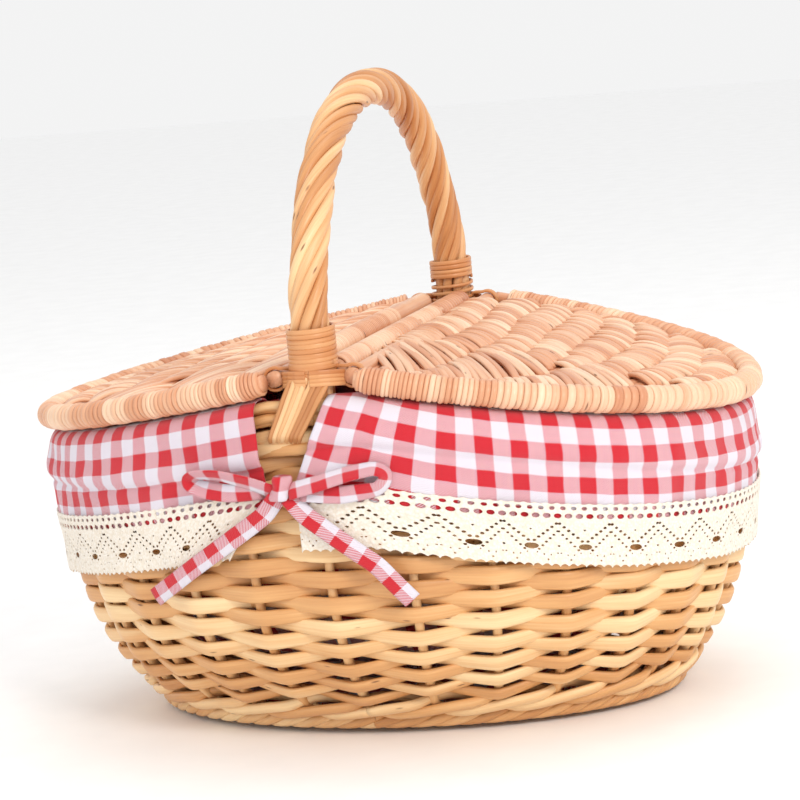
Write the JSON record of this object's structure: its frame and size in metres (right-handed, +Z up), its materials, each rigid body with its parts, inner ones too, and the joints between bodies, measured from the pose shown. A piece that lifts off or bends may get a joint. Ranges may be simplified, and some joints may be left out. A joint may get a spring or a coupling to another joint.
{
  "type": "wicker picnic basket",
  "caption": "Oval willow picnic basket with a fixed twisted bow handle, two lids hinged at the middle, and a checked cloth liner edged with lace.",
  "frame": {"origin": "middle of the foot, on the surface that the basket stands on", "axes": "+X along the length towards the right lid, -Y towards the front with the bow, +Z up; the handle stands in the YZ plane"},
  "size_m": [0.4002, 0.3232, 0.3442],
  "materials": {
    "wall_willow": "satin, peeled golden-cream willow",
    "lid_willow": "satin, peeled peach-coloured willow",
    "handle_willow": "satin, twisted peeled willow",
    "cane": "smooth, slightly glossy flat cane",
    "gingham": "matt cotton, red and white checks",
    "lace": "matt cotton crochet lace"
  },
  "bodies": {
    "basket": {"base_cross_sticks": "wall_willow", "base_long_sticks": "wall_willow", "base_weave": "wall_willow", "bow_back_knot": "gingham", "bow_back_loops": "gingham", "bow_back_tails": "gingham", "bow_front_knot": "gingham", "bow_front_loops": "gingham", "bow_front_tails": "gingham", "foot_border": "wall_willow", "handle_binding_back": "cane", "handle_binding_front": "cane", "handle_core": "handle_willow", "handle_rods": "handle_willow", "handle_tails_back": "handle_willow", "handle_tails_front": "handle_willow", "hinge_loop_back_left": "cane", "hinge_loop_back_right": "cane", "hinge_loop_front_left": "cane", "hinge_loop_front_right": "cane", "lace_left": "lace", "lace_right": "lace", "liner_bag": "gingham", "liner_flap_left": "gingham", "liner_flap_right": "gingham", "rim_border": "wall_willow", "side_stakes": "wall_willow", "side_weave": "wall_willow", "wale_lower": "wall_willow", "wale_upper": "wall_willow"},
    "lid_left": {"lid_left_border_wrap": "lid_willow", "lid_left_edge_stick": "lid_willow", "lid_left_hinge_stick": "lid_willow", "lid_left_hoop": "lid_willow", "lid_left_ribs": "lid_willow", "lid_left_weave": "lid_willow"},
    "lid_right": {"lid_right_border_wrap": "lid_willow", "lid_right_edge_stick": "lid_willow", "lid_right_hinge_stick": "lid_willow", "lid_right_hoop": "lid_willow", "lid_right_ribs": "lid_willow", "lid_right_weave": "lid_willow"}
  },
  "joints": [
    {"name": "lid_left_hinge", "type": "hinge", "parent": "basket", "child": "lid_left", "pos_m": [-0.0205, 0, 0.198], "axis": [0, 1, 0], "range_deg": [0, 100]},
    {"name": "lid_right_hinge", "type": "hinge", "parent": "basket", "child": "lid_right", "pos_m": [0.0205, 0, 0.198], "axis": [0, -1, 0], "range_deg": [0, 101.8]}
  ]
}
